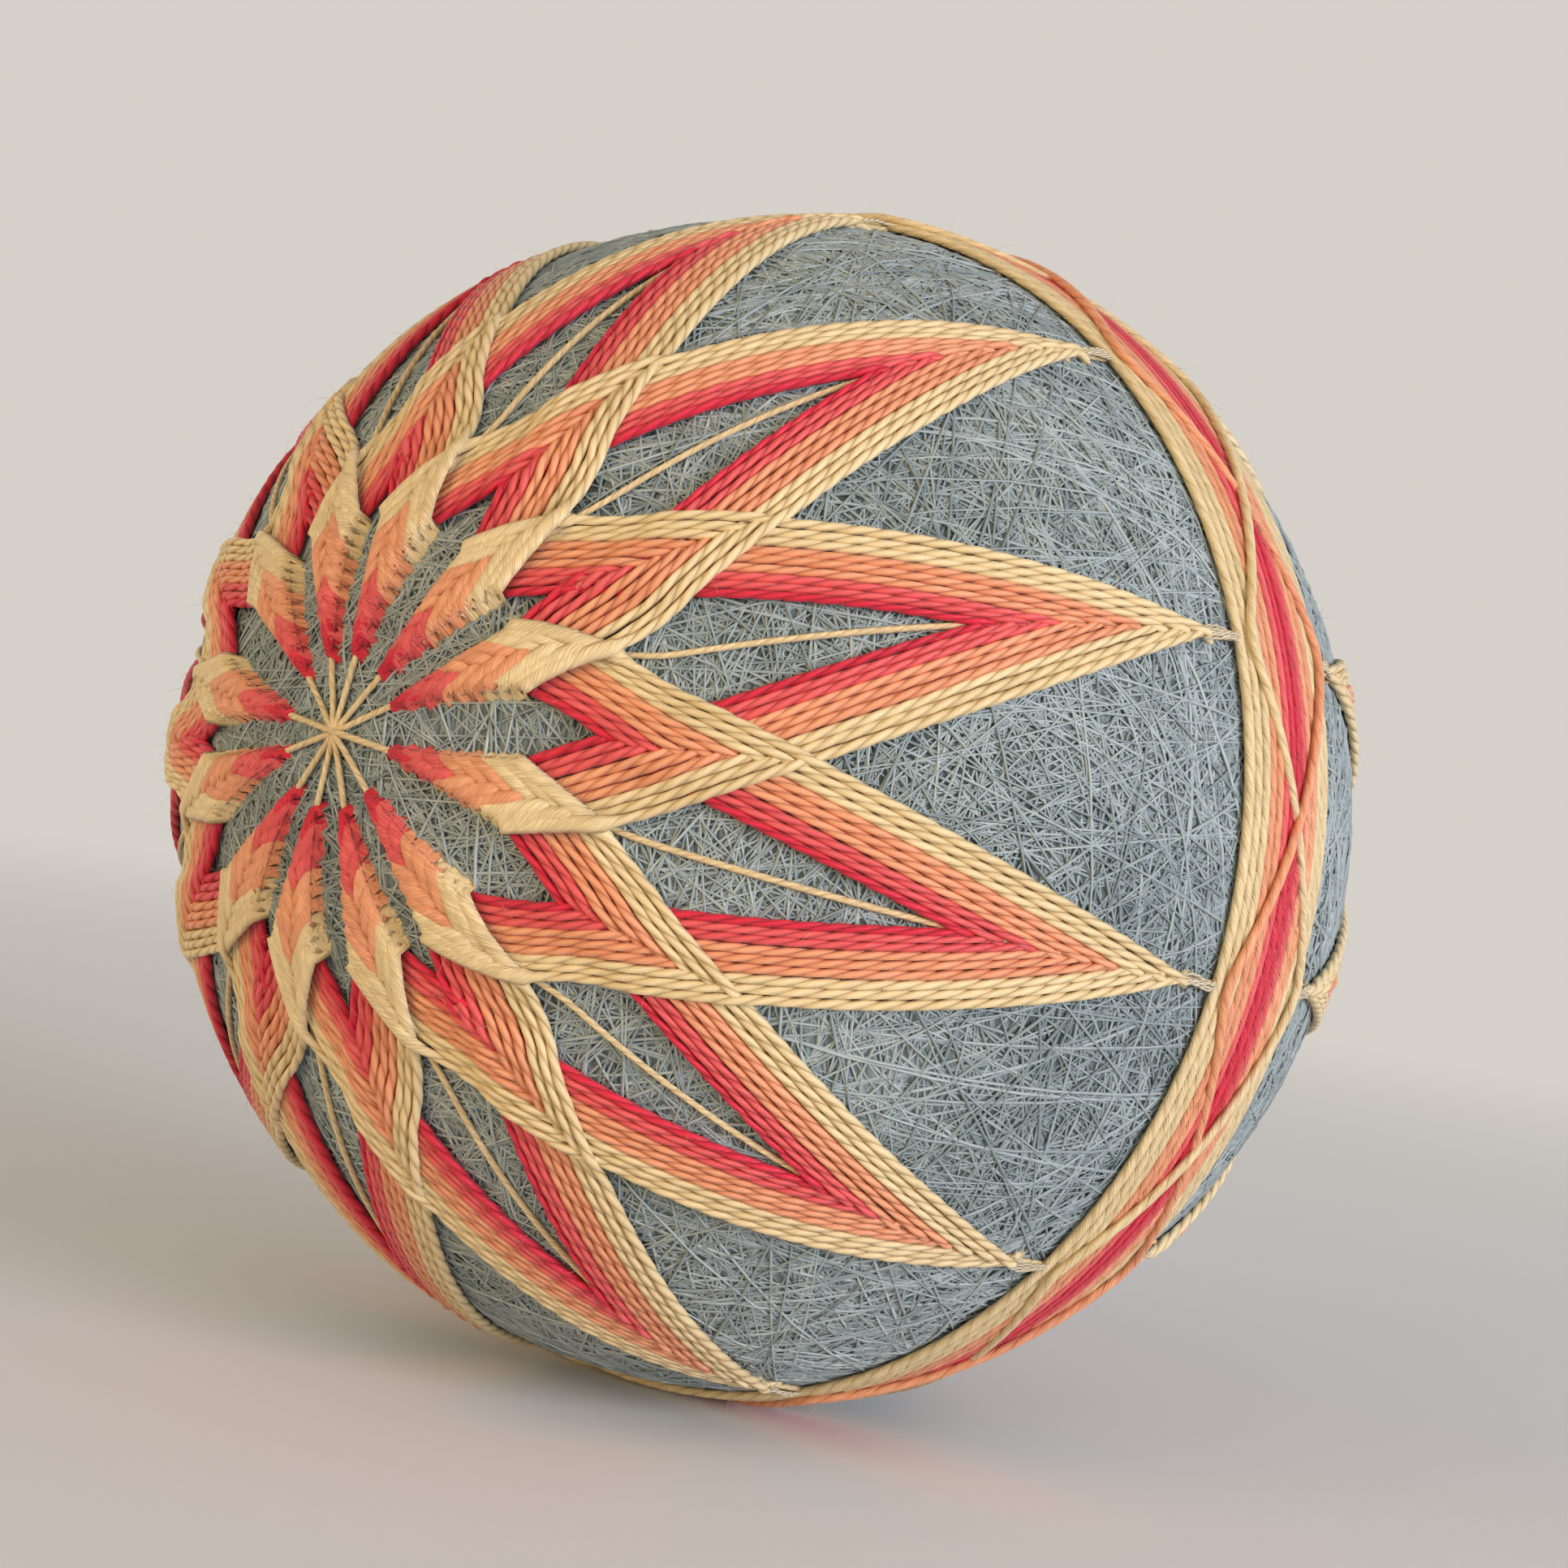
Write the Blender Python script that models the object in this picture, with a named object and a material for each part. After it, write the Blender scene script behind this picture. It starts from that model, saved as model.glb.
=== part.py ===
# Hand ball wound with thread and stitched with a twelve-part chrysanthemum on each pole.
# Metres, +Z up. The pole axis runs along Y, the front pole at -Y, and the ball rests on its belt.
# Angles are in degrees: a polar angle counts from the nearer pole, a turn counts about the Y axis.

import math

import bmesh
import bpy
import numpy as np
from mathutils import Vector

# Driving sizes
REST_HEIGHT = 0.0449          # ball centre above the surface, which leaves a small flat spot on the belt
CORE_RADIUS = 0.0435          # wound core
DIVISION_INNER = 0.0439       # the dividing threads lie round the core
DIVISION_OUTER = 0.0442
DIVISION_WIDTH = 0.00045
DIVISION_START = 12           # polar angle of the first point past the crossing at the pole
DIVISION_POINTS = 17
STITCH_INNER = 0.0447         # underside of the stitching
SINGLE_TOP = 0.0451           # one layer of thread
DOUBLE_TOP = 0.04565          # where two layers cross
PETAL_TOP = 0.04595           # crest of the overstitched petals
PETAL_FALL = 0.8              # share of that extra height lost from the seam to the petal's edge
LINE_COUNT = 12
LINE_STEP = 360 / LINE_COUNT
FIRST_LINE = 21.1             # turn of the first dividing line from +X towards +Z

# Stitching, where row edge 0 is the inner side of the first row and 9 the outer side of the last
ROW_EDGES = 9
TIP_POLAR = (54.6, 79.6)      # polar angle of row edges 0 and 9 at an outer point
SEAM_POLAR = (7.6, 26.8)      # polar angle of row edges 0 and 9 on the petal's middle seam
ARM_BOW = 0.005               # how far an arm bows off the straight line, as a share of the radius
PETAL_EDGE = [
    # row edge, polar angle of the stitch hole, half width there
    {"row": 0, "polar": 6.0, "half": 0.00035},
    {"row": 1, "polar": 7.8, "half": 0.00075},
    {"row": 3, "polar": 12.0, "half": 0.0015},
    {"row": 6, "polar": 16.4, "half": 0.0024},
    {"row": 9, "polar": 19.8, "half": 0.0030},
]
ARM_ROWS = [0, 4.5, 9]        # row edges at which an arm has a line of points
PETAL_ROWS = [0, 2, 5, 8.4, 9]
PETAL_FULL_ROW = 5            # the petal has its full height from this row out
ARM_STEPS = 5
START_STEPS = [0, 0.7, 1]     # from under the petal to the foot of the crossing

# Belt round the middle
BELT_HALF = 7.4               # half width as an angle
BELT_INNER = 0.0446           # underside
BELT_STEPS = 72
BELT_PROFILE = [
    # share of the half width, outer radius
    {"share": -1.0, "radius": 0.0450},
    {"share": -0.8, "radius": 0.04525},
    {"share": 0.0, "radius": 0.04535},
    {"share": 0.8, "radius": 0.04525},
    {"share": 1.0, "radius": 0.0450},
]
ZIGZAG_REACH = 0.9            # where the crossing pair turns, as a share of the half width
ZIGZAG_RADIUS = 0.04545       # radius at which its middle runs
ZIGZAG_HALF = 0.00042         # half thickness of its thread
ZIGZAG_STEPS = 3              # points for each span between two lines
ZIGZAG_SECTION = [
    # corner of the thread's section, outward and across, in half thicknesses
    {"out": 1.0, "across": -0.5},
    {"out": 1.0, "across": 0.5},
    {"out": -0.6, "across": 1.0},
    {"out": -0.6, "across": -1.0},
]

# Small working values
SHARP_ANGLE = 35
MERGE = 0.00002
CORE_SEGMENTS = 40
CORE_RINGS = 20
SAMPLES = 401
CUTTER_SIZE = 0.02


def clear_scene():
    for ob in list(bpy.data.objects):
        bpy.data.objects.remove(ob, do_unlink=True)


def make_material(name, colour, roughness):
    material = bpy.data.materials.new(name)
    material.use_nodes = True
    shader = material.node_tree.nodes["Principled BSDF"]
    shader.inputs["Base Color"].default_value = (*colour, 1)
    shader.inputs["Roughness"].default_value = roughness
    shader.inputs["Metallic"].default_value = 0
    return material


def direction(polar, turn):
    # unit vector at a polar angle from the front pole and a turn about the axis
    polar = np.radians(polar)
    turn = np.radians(turn)
    return np.stack([np.sin(polar) * np.cos(turn), -np.cos(polar) + 0 * turn, np.sin(polar) * np.sin(turn)], -1)


def polar_and_turn(vector):
    polar = np.degrees(np.arccos(np.clip(-vector[..., 1], -1, 1)))
    turn = np.degrees(np.arctan2(vector[..., 2], vector[..., 0]))
    return polar, turn


def slide(start, end, share):
    # point on the great circle from start to end
    share = np.asarray(share)[..., None]
    angle = math.acos(float(np.clip(np.dot(start, end), -1, 1)))
    return (np.sin((1 - share) * angle) * start + np.sin(share * angle) * end) / math.sin(angle)


def petal_point(row, share):
    # from the middle seam (share 0) to the stitch hole at the petal's edge (share 1)
    rows = [entry["row"] for entry in PETAL_EDGE]
    polar = float(np.interp(row, rows, [entry["polar"] for entry in PETAL_EDGE]))
    half = float(np.interp(row, rows, [entry["half"] for entry in PETAL_EDGE]))
    turn = math.degrees(math.asin(half / (CORE_RADIUS * math.sin(math.radians(polar)))))
    seam = direction(np.interp(row, [0, ROW_EDGES], SEAM_POLAR), 0.0)
    return slide(seam, direction(polar, turn), share)


def arm_points(row, share):
    # an arm comes out from under its petal on line 0 and runs to the outer point on the next line
    start = petal_point(ROW_EDGES, 1 - row / ROW_EDGES)
    end = direction(np.interp(row, [0, ROW_EDGES], TIP_POLAR), LINE_STEP)
    outward = np.cross(end, start)
    outward = outward / np.linalg.norm(outward)
    share = np.asarray(share, float)
    bow = ARM_BOW * np.sin(np.pi * share)
    points = slide(start, end, share) + bow[..., None] * outward
    return points / np.linalg.norm(points, axis=-1, keepdims=True)


def crossing(row, other):
    # share of the arm at which it meets the other petal's arm, whose row edge is other
    share = np.linspace(0, 1, SAMPLES)
    polar, turn = polar_and_turn(arm_points(row, share))
    other_polar, other_turn = polar_and_turn(arm_points(other, share))
    gap = polar - np.interp(LINE_STEP - turn, other_turn, other_polar)
    return float(np.interp(0, gap, share))


class Surface:
    # an open surface of faces on the sphere, each point with its own outer radius
    def __init__(self):
        self.points = []
        self.tops = []
        self.faces = []

    def add_grid(self, points, tops):
        # points is a grid of unit vectors, tops a grid of radii
        points = np.asarray(points)
        rows, columns = points.shape[:2]
        first = len(self.points)
        self.points += list(points.reshape(-1, 3))
        self.tops += list(np.asarray(tops, float).reshape(-1))
        for r in range(rows - 1):
            for c in range(columns - 1):
                a = first + r * columns + c
                self.faces.append((a, a + 1, a + columns + 1, a + columns))

    def mirrored(self):
        # the same surface on the other side of line 0
        other = Surface()
        flip = np.array([1, 1, -1])
        other.points = [point * flip for point in self.points]
        other.tops = list(self.tops)
        other.faces = [tuple(reversed(face)) for face in self.faces]
        return other

    def turned(self, angle):
        other = Surface()
        c, s = math.cos(math.radians(angle)), math.sin(math.radians(angle))
        turn = np.array([[c, 0, -s], [0, 1, 0], [s, 0, c]])
        other.points = list(np.asarray(self.points) @ turn.T)
        other.tops = list(self.tops)
        other.faces = list(self.faces)
        return other

    def joined(self, other):
        first = len(self.points)
        self.points += other.points
        self.tops += other.tops
        self.faces += [tuple(index + first for index in face) for face in other.faces]


def solid_from_surface(name, surface, inner_radius, material, front=True):
    # merge the surface, then close it with an underside at one radius and walls along its borders
    side = np.array([1, 1, 1]) if front else np.array([1, -1, 1])
    tops = [Vector(point * side * top) for point, top in zip(surface.points, surface.tops)]
    bm = bmesh.new()
    verts = [bm.verts.new(top) for top in tops]
    for face in surface.faces:
        bm.faces.new([verts[index] for index in face])
    bmesh.ops.remove_doubles(bm, verts=bm.verts, dist=MERGE)
    upper = list(bm.faces)
    borders = [edge for edge in bm.edges if edge.is_boundary]
    lower = {}
    for vert in list(bm.verts):
        lower[vert] = bm.verts.new(vert.co.normalized() * inner_radius)
    for face in upper:
        bm.faces.new([lower[vert] for vert in reversed(face.verts)])
    for edge in borders:
        a, b = edge.verts
        bm.faces.new((a, b, lower[b], lower[a]))
    bmesh.ops.recalc_face_normals(bm, faces=bm.faces)
    bmesh.ops.triangulate(bm, faces=bm.faces)
    if bm.calc_volume(signed=True) < 0:
        bmesh.ops.reverse_faces(bm, faces=bm.faces)
    bmesh.ops.translate(bm, verts=bm.verts, vec=(0, 0, REST_HEIGHT))
    return object_from_bmesh(name, bm, material)


def object_from_bmesh(name, bm, material):
    mesh = bpy.data.meshes.new(name)
    bm.to_mesh(mesh)
    bm.free()
    mesh.shade_smooth()
    mesh.set_sharp_from_angle(angle=math.radians(SHARP_ANGLE))
    ob = bpy.data.objects.new(name, mesh)
    ob.data.materials.append(material)
    bpy.context.scene.collection.objects.link(ob)
    return ob


def make_core(material):
    bm = bmesh.new()
    bmesh.ops.create_uvsphere(bm, u_segments=CORE_SEGMENTS, v_segments=CORE_RINGS, radius=CORE_RADIUS)
    bmesh.ops.triangulate(bm, faces=bm.faces)
    bmesh.ops.translate(bm, verts=bm.verts, vec=(0, 0, REST_HEIGHT))
    return object_from_bmesh("core_ball", bm, material)


def make_division_threads(material):
    # twelve strips from pole to pole, fused where they cross
    half_turn = LINE_STEP / 2
    hub = math.degrees(DIVISION_WIDTH / 2 / math.sin(math.radians(half_turn)) / DIVISION_INNER)
    near = hub * math.cos(math.radians(half_turn))
    middle = np.linspace(DIVISION_START, 180 - DIVISION_START, DIVISION_POINTS)
    spots = np.concatenate([[near], middle, [180 - near]])
    strip = Surface()
    half_angle = np.degrees(np.arcsin(DIVISION_WIDTH / 2 / (DIVISION_INNER * np.sin(np.radians(spots)))))
    half_angle = np.minimum(half_angle, half_turn)
    polar = np.stack([spots, spots], 1)
    turn = np.stack([-half_angle, half_angle], 1)
    strip.add_grid(direction(polar, turn), np.full(polar.shape, DIVISION_OUTER))
    corners = len(strip.points)
    strip.points += [direction(0.0, 0.0), direction(180.0, 0.0)]
    strip.tops += [DIVISION_OUTER, DIVISION_OUTER]
    strip.faces += [(corners, 1, 0), (corners + 1, corners - 2, corners - 1)]
    cage = Surface()
    for line in range(LINE_COUNT):
        cage.joined(strip.turned(FIRST_LINE + line * LINE_STEP))
    return solid_from_surface("division_threads", cage, DIVISION_INNER, material)


def petal_patch(half):
    # nested stitches from the middle seam to the scalloped edge, higher along the seam
    shares = [1 - row / ROW_EDGES for row in reversed(ARM_ROWS)]
    points = [petal_point(row, shares) for row in PETAL_ROWS]
    tops = []
    for row in PETAL_ROWS:
        rise = (PETAL_TOP - SINGLE_TOP) * min(1, row / PETAL_FULL_ROW)
        if row == ROW_EDGES:
            rise = 0
        tops.append([SINGLE_TOP + rise * (1 - PETAL_FALL * share**2) for share in shares])
    half.add_grid(points, tops)


def arm_patches(half):
    # the arm from this line's petal, which lies over the arm that comes the other way
    starts = []
    for row in ARM_ROWS:
        foot = crossing(row, 0)
        starts.append(arm_points(row, [foot * step for step in START_STEPS]))
    single = [SINGLE_TOP] * (len(START_STEPS) - 1)
    half.add_grid(starts, [single + [SINGLE_TOP if row == ROW_EDGES else DOUBLE_TOP] for row in ARM_ROWS])
    for i, row in enumerate(ARM_ROWS[:-1]):
        outer = ARM_ROWS[i + 1]
        for j, other in enumerate(ARM_ROWS[: i + 1]):
            after = ARM_ROWS[j + 1]
            corners = [(row, other), (outer, other), (outer, after), (row, after)]
            if i == j:
                corners = corners[:3]
            points = [arm_points(a, crossing(a, b)) for a, b in corners]
            first = len(half.points)
            half.points += points
            half.tops += [SINGLE_TOP if a == ROW_EDGES else DOUBLE_TOP for a, b in corners]
            half.faces.append(tuple(range(first, first + len(corners))))


def tip_patch(half):
    # the far part of the arm that ends on this line, seen from this side of the middle
    columns = []
    for row in ARM_ROWS:
        polar, turn = polar_and_turn(arm_points(row, np.linspace(crossing(row, ROW_EDGES), 1, ARM_STEPS + 1)))
        columns.append(direction(polar, LINE_STEP - turn))
    half.add_grid(columns, np.full((len(ARM_ROWS), ARM_STEPS + 1), SINGLE_TOP))


def make_flower(name, front, material):
    half = Surface()
    petal_patch(half)
    arm_patches(half)
    tip_patch(half)
    half.joined(half.mirrored())
    flower = Surface()
    for line in range(LINE_COUNT):
        flower.joined(half.turned(FIRST_LINE + line * LINE_STEP))
    return solid_from_surface(name, flower, STITCH_INNER, material, front)


def make_belt(material):
    # a band of parallel turns
    turns = np.linspace(0, 360, BELT_STEPS + 1)
    band = Surface()
    polar = np.array([[90 + BELT_HALF * entry["share"] for entry in BELT_PROFILE]] * len(turns))
    tops = np.array([[entry["radius"] for entry in BELT_PROFILE]] * len(turns))
    band.add_grid(direction(polar, turns[:, None] + 0 * polar), tops)
    return solid_from_surface("belt", band, BELT_INNER, material)


def make_zigzag(name, side, material):
    # one thread of the crossing pair as a closed square tube that turns at each line
    spans = np.arange(LINE_COUNT * ZIGZAG_STEPS)
    line = spans / ZIGZAG_STEPS
    height = side * (2 * np.abs((line % 2) - 1) - 1)
    middle = direction(90 + BELT_HALF * ZIGZAG_REACH * height, FIRST_LINE + line * LINE_STEP)
    ahead = np.roll(middle, -1, axis=0) - np.roll(middle, 1, axis=0)
    across = np.cross(middle, ahead)
    across = across / np.linalg.norm(across, axis=1, keepdims=True)
    bm = bmesh.new()
    rings = []
    for corner in ZIGZAG_SECTION:
        ring = middle * (ZIGZAG_RADIUS + corner["out"] * ZIGZAG_HALF)
        ring = ring + across * corner["across"] * ZIGZAG_HALF
        rings.append([bm.verts.new(point) for point in ring])
    count = len(spans)
    for r in range(len(rings)):
        near, far = rings[r], rings[(r + 1) % len(rings)]
        for i in range(count):
            k = (i + 1) % count
            bm.faces.new((near[i], near[k], far[k], far[i]))
    bmesh.ops.recalc_face_normals(bm, faces=bm.faces)
    bmesh.ops.triangulate(bm, faces=bm.faces)
    bmesh.ops.translate(bm, verts=bm.verts, vec=(0, 0, REST_HEIGHT))
    return hidden_cutter(object_from_bmesh(name, bm, material))


def make_rest_cutter(material):
    bm = bmesh.new()
    bmesh.ops.create_cube(bm, size=CUTTER_SIZE)
    bmesh.ops.translate(bm, verts=bm.verts, vec=(0, 0, -CUTTER_SIZE / 2))
    return hidden_cutter(object_from_bmesh("rest_cutter", bm, material))


def hidden_cutter(ob):
    ob.hide_render = True
    ob.display_type = "WIRE"
    return ob


def add_boolean(ob, cutter, operation):
    modifier = ob.modifiers.new(cutter.name, "BOOLEAN")
    modifier.operation = operation
    modifier.solver = "EXACT"
    modifier.object = cutter


def build():
    clear_scene()
    core_thread = make_material("core_thread", (0.28, 0.35, 0.40), 0.75)
    division_thread = make_material("division_thread", (0.80, 0.62, 0.40), 0.6)
    front_thread = make_material("front_thread", (0.80, 0.28, 0.20), 0.55)
    back_thread = make_material("back_thread", (0.80, 0.28, 0.20), 0.55)
    belt_thread = make_material("belt_thread", (0.78, 0.50, 0.33), 0.55)
    make_core(core_thread)
    make_division_threads(division_thread)
    make_flower("flower_front", True, front_thread)
    make_flower("flower_back", False, back_thread)
    belt = make_belt(belt_thread)
    add_boolean(belt, make_zigzag("zigzag_a", 1, belt_thread), "UNION")
    add_boolean(belt, make_zigzag("zigzag_b", -1, belt_thread), "UNION")
    add_boolean(belt, make_rest_cutter(belt_thread), "DIFFERENCE")


build()
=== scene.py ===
import math

import bpy
import numpy as np
from mathutils import Matrix, Vector


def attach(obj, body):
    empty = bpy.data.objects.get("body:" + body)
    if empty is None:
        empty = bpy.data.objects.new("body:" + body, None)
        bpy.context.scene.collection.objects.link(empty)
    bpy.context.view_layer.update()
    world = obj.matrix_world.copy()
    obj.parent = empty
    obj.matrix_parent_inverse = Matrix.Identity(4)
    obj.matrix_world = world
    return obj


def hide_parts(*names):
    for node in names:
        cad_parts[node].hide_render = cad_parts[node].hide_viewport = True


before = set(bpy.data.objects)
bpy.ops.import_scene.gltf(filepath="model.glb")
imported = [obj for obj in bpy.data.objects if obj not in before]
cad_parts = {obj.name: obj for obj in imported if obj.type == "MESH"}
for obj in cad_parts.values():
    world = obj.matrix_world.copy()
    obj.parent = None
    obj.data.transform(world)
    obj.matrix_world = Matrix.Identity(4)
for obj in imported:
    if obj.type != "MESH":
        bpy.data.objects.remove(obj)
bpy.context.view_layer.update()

mm = 0.001

# the ball stands on its belt, so the poles are at -Y and +Y
ball = {
    "centre": (0.0, 0.0, 0.0449),
    "radius": 0.0442,        # where the stitching lies on the winding
    "lines": 12,
    "firstLine": 21.1,       # degrees from +X towards +Z
    "pressed": 0.00003,      # lowest point above the floor
}
centre = np.array(ball["centre"])
lineStep = 360 / ball["lines"]
rng = np.random.default_rng(26)


def sphereDirection(polar, turn):
    # unit vector: sin(polar) round the Y axis by turn, and -cos(polar) along it, both in degrees
    polar, turn = np.broadcast_arrays(np.radians(polar), np.radians(turn))
    return np.stack([np.sin(polar) * np.cos(turn), -np.cos(polar), np.sin(polar) * np.sin(turn)], -1)


def polarAndTurn(points):
    # the inverse of sphereDirection
    polar = np.degrees(np.arccos(np.clip(-points[..., 1], -1, 1)))
    return polar, np.degrees(np.arctan2(points[..., 2], points[..., 0]))


def unit(vectors):
    # each vector divided by its own length
    return vectors / np.linalg.norm(vectors, axis=-1, keepdims=True)


def slide(start, end, share):
    # great circle: sin((1-share)a) of the start plus sin(share a) of the end, over sin(a)
    share = np.asarray(share, float)[..., None]
    angle = np.arccos(np.clip(np.sum(start * end, -1), -1, 1))
    return (np.sin((1 - share) * angle) * start + np.sin(share * angle) * end) / np.sin(angle)


def smoothed(values, passes):
    # every point moves towards the mean of its two neighbours, the ends stay
    values = np.array(values, float)
    for i in range(passes):
        values[1:-1] = (values[:-2] + 2 * values[1:-1] + values[2:]) / 4
    return values


def turned(points, angle):
    # rotation about Y by an angle in degrees, from +X towards +Z
    c, s = math.cos(math.radians(angle)), math.sin(math.radians(angle))
    return points @ np.array([[c, 0, s], [0, 1, 0], [-s, 0, c]])


def tubes(paths, wide, high, sides, lead, phase, lobe, tone, closed=False, ply=1.0):
    # a twisted section carried along each path: across*wide*cos(a) + up*high*sin(a), both times
    # 1 + lobe*ply*cos(2(a - twist)), where the twist grows by one turn for each lead of length
    if closed:
        ahead = np.roll(paths, -1, axis=1) - np.roll(paths, 1, axis=1)
        step = np.linalg.norm(np.roll(paths, -1, axis=1) - paths, axis=-1)
        run = np.concatenate([np.zeros_like(step[:, :1]), np.cumsum(step, 1)], 1)
        turns = np.round(run[:, -1:] / lead)
        run = run * turns * lead / run[:, -1:]
        paths = np.concatenate([paths, paths[:, :1]], 1)
        ahead = np.concatenate([ahead, ahead[:, :1]], 1)
    else:
        ahead = np.gradient(paths, axis=1)
        step = np.linalg.norm(np.diff(paths, axis=1), axis=-1)
        run = np.concatenate([np.zeros_like(step[:, :1]), np.cumsum(step, 1)], 1)
    many, count = paths.shape[:2]
    ahead = unit(ahead)
    across = unit(np.cross(ahead, unit(paths)))
    up = np.cross(across, ahead)
    wide = np.broadcast_to(wide, (many, count))[..., None, None]
    high = np.broadcast_to(high, (many, count))[..., None, None]
    ply = np.broadcast_to(ply, (many, count))
    angle = np.arange(sides) * 2 * math.pi / sides
    twist = run / lead + np.asarray(phase)[:, None]
    swell = 1 + lobe * ply[..., None] * np.cos(2 * (angle - 2 * math.pi * twist[..., None]))
    points = (
        paths[:, :, None]
        + across[:, :, None] * wide * (np.cos(angle) * swell)[..., None]
        + up[:, :, None] * high * (np.sin(angle) * swell)[..., None]
    )
    rings = count - 1 if closed else count
    grid = np.arange(many * rings * sides).reshape(many, rings, sides)
    following = np.roll(grid, -1, axis=1) if closed else grid[:, 1:]
    here = grid if closed else grid[:, :-1]
    quads = np.stack([here, following, np.roll(following, -1, 2), np.roll(here, -1, 2)], -1)
    around = np.arange(sides) / sides
    nearTwist, farTwist = twist[:, :-1, None], twist[:, 1:, None]
    nearRun, farRun = run[:, :-1, None] / mm, run[:, 1:, None] / mm
    flat = np.zeros_like(nearTwist + around)
    u = np.stack([around - nearTwist, around - farTwist, around + 1 / sides - farTwist,
                  around + 1 / sides - nearTwist], -1)
    v = np.stack([nearRun + flat, farRun + flat, farRun + flat, nearRun + flat], -1)
    caps = np.zeros((0, sides), int)
    if not closed:
        caps = np.concatenate([grid[:, 0], grid[:, -1, ::-1]])
    return {
        "points": points[:, :rings].reshape(-1, 3),
        "quads": quads.reshape(-1, 4),
        "uv": np.stack([u, v], -1).reshape(-1, 2),
        "caps": caps,
        "tone": np.repeat(np.asarray(tone, float), rings * sides),
        "ply": np.repeat(ply[:, :rings].ravel(), sides),
    }


def pieceFromTubes(name, parts, material):
    # the tubes' points, faces, texture places and tones joined end to end in one mesh
    starts = np.cumsum([0] + [len(part["points"]) for part in parts])
    points = np.concatenate([part["points"] for part in parts]) + centre
    points[:, 2] = np.maximum(points[:, 2], ball["pressed"])
    quads = np.concatenate([part["quads"] + start for part, start in zip(parts, starts)])
    caps = np.concatenate([part["caps"] + start for part, start in zip(parts, starts)])
    corners = np.concatenate([quads.ravel(), caps.ravel()])
    firsts = np.concatenate([np.arange(len(quads)) * 4, quads.size + np.arange(len(caps)) * caps.shape[1]])
    mesh = bpy.data.meshes.new(name)
    mesh.vertices.add(len(points))
    mesh.vertices.foreach_set("co", points.astype(np.float32).ravel())
    mesh.loops.add(len(corners))
    mesh.loops.foreach_set("vertex_index", corners.astype(np.int32))
    mesh.polygons.add(len(firsts))
    mesh.polygons.foreach_set("loop_start", firsts.astype(np.int32))
    mesh.update(calc_edges=True)
    mesh.shade_smooth()
    places = np.zeros((len(corners), 2))
    places[: quads.size] = np.concatenate([part["uv"] for part in parts])
    mesh.uv_layers.new(name="thread").data.foreach_set("uv", places.astype(np.float32).ravel())
    for kind in ("tone", "ply"):
        values = np.concatenate([part[kind] for part in parts])
        mesh.attributes.new(kind, "FLOAT", "POINT").data.foreach_set("value", values.astype(np.float32))
    mesh.materials.append(material)
    piece = bpy.data.objects.new(name, mesh)
    bpy.context.scene.collection.objects.link(piece)
    return piece


def dress(piece, node):
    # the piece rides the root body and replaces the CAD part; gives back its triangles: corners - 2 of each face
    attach(piece, "root")
    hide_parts(node)
    faces = sum(len(polygon.vertices) - 2 for polygon in piece.data.polygons)
    print(f"{piece.name}: {faces} triangles")
    return faces


# materials

def mathNode(tree, operation, *values):
    # one shader sum; each value is a number or another node's output
    node = tree.nodes.new("ShaderNodeMath")
    node.operation = operation
    for socket, value in zip(node.inputs, values):
        if isinstance(value, bpy.types.NodeSocket):
            tree.links.new(value, socket)
        else:
            socket.default_value = value
    return node.outputs[0]


def times(tree, first, second):
    # first * second
    return mathNode(tree, "MULTIPLY", first, second)


def plus(tree, first, second):
    # first + second
    return mathNode(tree, "ADD", first, second)


def minus(tree, first, second):
    # first - second
    return mathNode(tree, "SUBTRACT", first, second)


def attribute(tree, name):
    # a value stored at the mesh's points
    node = tree.nodes.new("ShaderNodeAttribute")
    node.attribute_name = name
    return node.outputs["Fac"]


def stretched(tree, value, low, high):
    # (value - low) / (high - low)
    node = tree.nodes.new("ShaderNodeMapRange")
    node.inputs["From Min"].default_value = low
    node.inputs["From Max"].default_value = high
    tree.links.new(value, node.inputs["Value"])
    return node.outputs["Result"]


def clamped(tree, value):
    # held between 0 and 1
    node = tree.nodes.new("ShaderNodeClamp")
    tree.links.new(value, node.inputs[0])
    return node.outputs[0]


def noiseNode(tree, vector, scale, detail=0.0):
    # smooth noise, scale waves in each unit of the vector
    node = tree.nodes.new("ShaderNodeTexNoise")
    node.inputs["Scale"].default_value = scale
    node.inputs["Detail"].default_value = detail
    tree.links.new(vector, node.inputs["Vector"])
    return node.outputs["Fac"]


def combine(tree, x, y, z):
    # three values as one vector
    node = tree.nodes.new("ShaderNodeCombineXYZ")
    for socket, value in zip(node.inputs, (x, y, z)):
        if isinstance(value, bpy.types.NodeSocket):
            tree.links.new(value, socket)
        else:
            socket.default_value = value
    return node.outputs[0]


def mixColours(tree, share, dark, light):
    # dark * (1 - share) + light * share
    node = tree.nodes.new("ShaderNodeMix")
    node.data_type = "RGBA"
    tree.links.new(share, node.inputs["Factor"])
    node.inputs["A"].default_value = (*dark, 1)
    node.inputs["B"].default_value = (*light, 1)
    return node.outputs["Result"]


def linear(red, green, blue):
    # screen colour 0-255 to the shader's linear colour
    values = np.array([red, green, blue]) / 255
    return tuple(float(v) for v in np.where(values <= 0.04045, values / 12.92, ((values + 0.055) / 1.055) ** 2.4))


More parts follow.
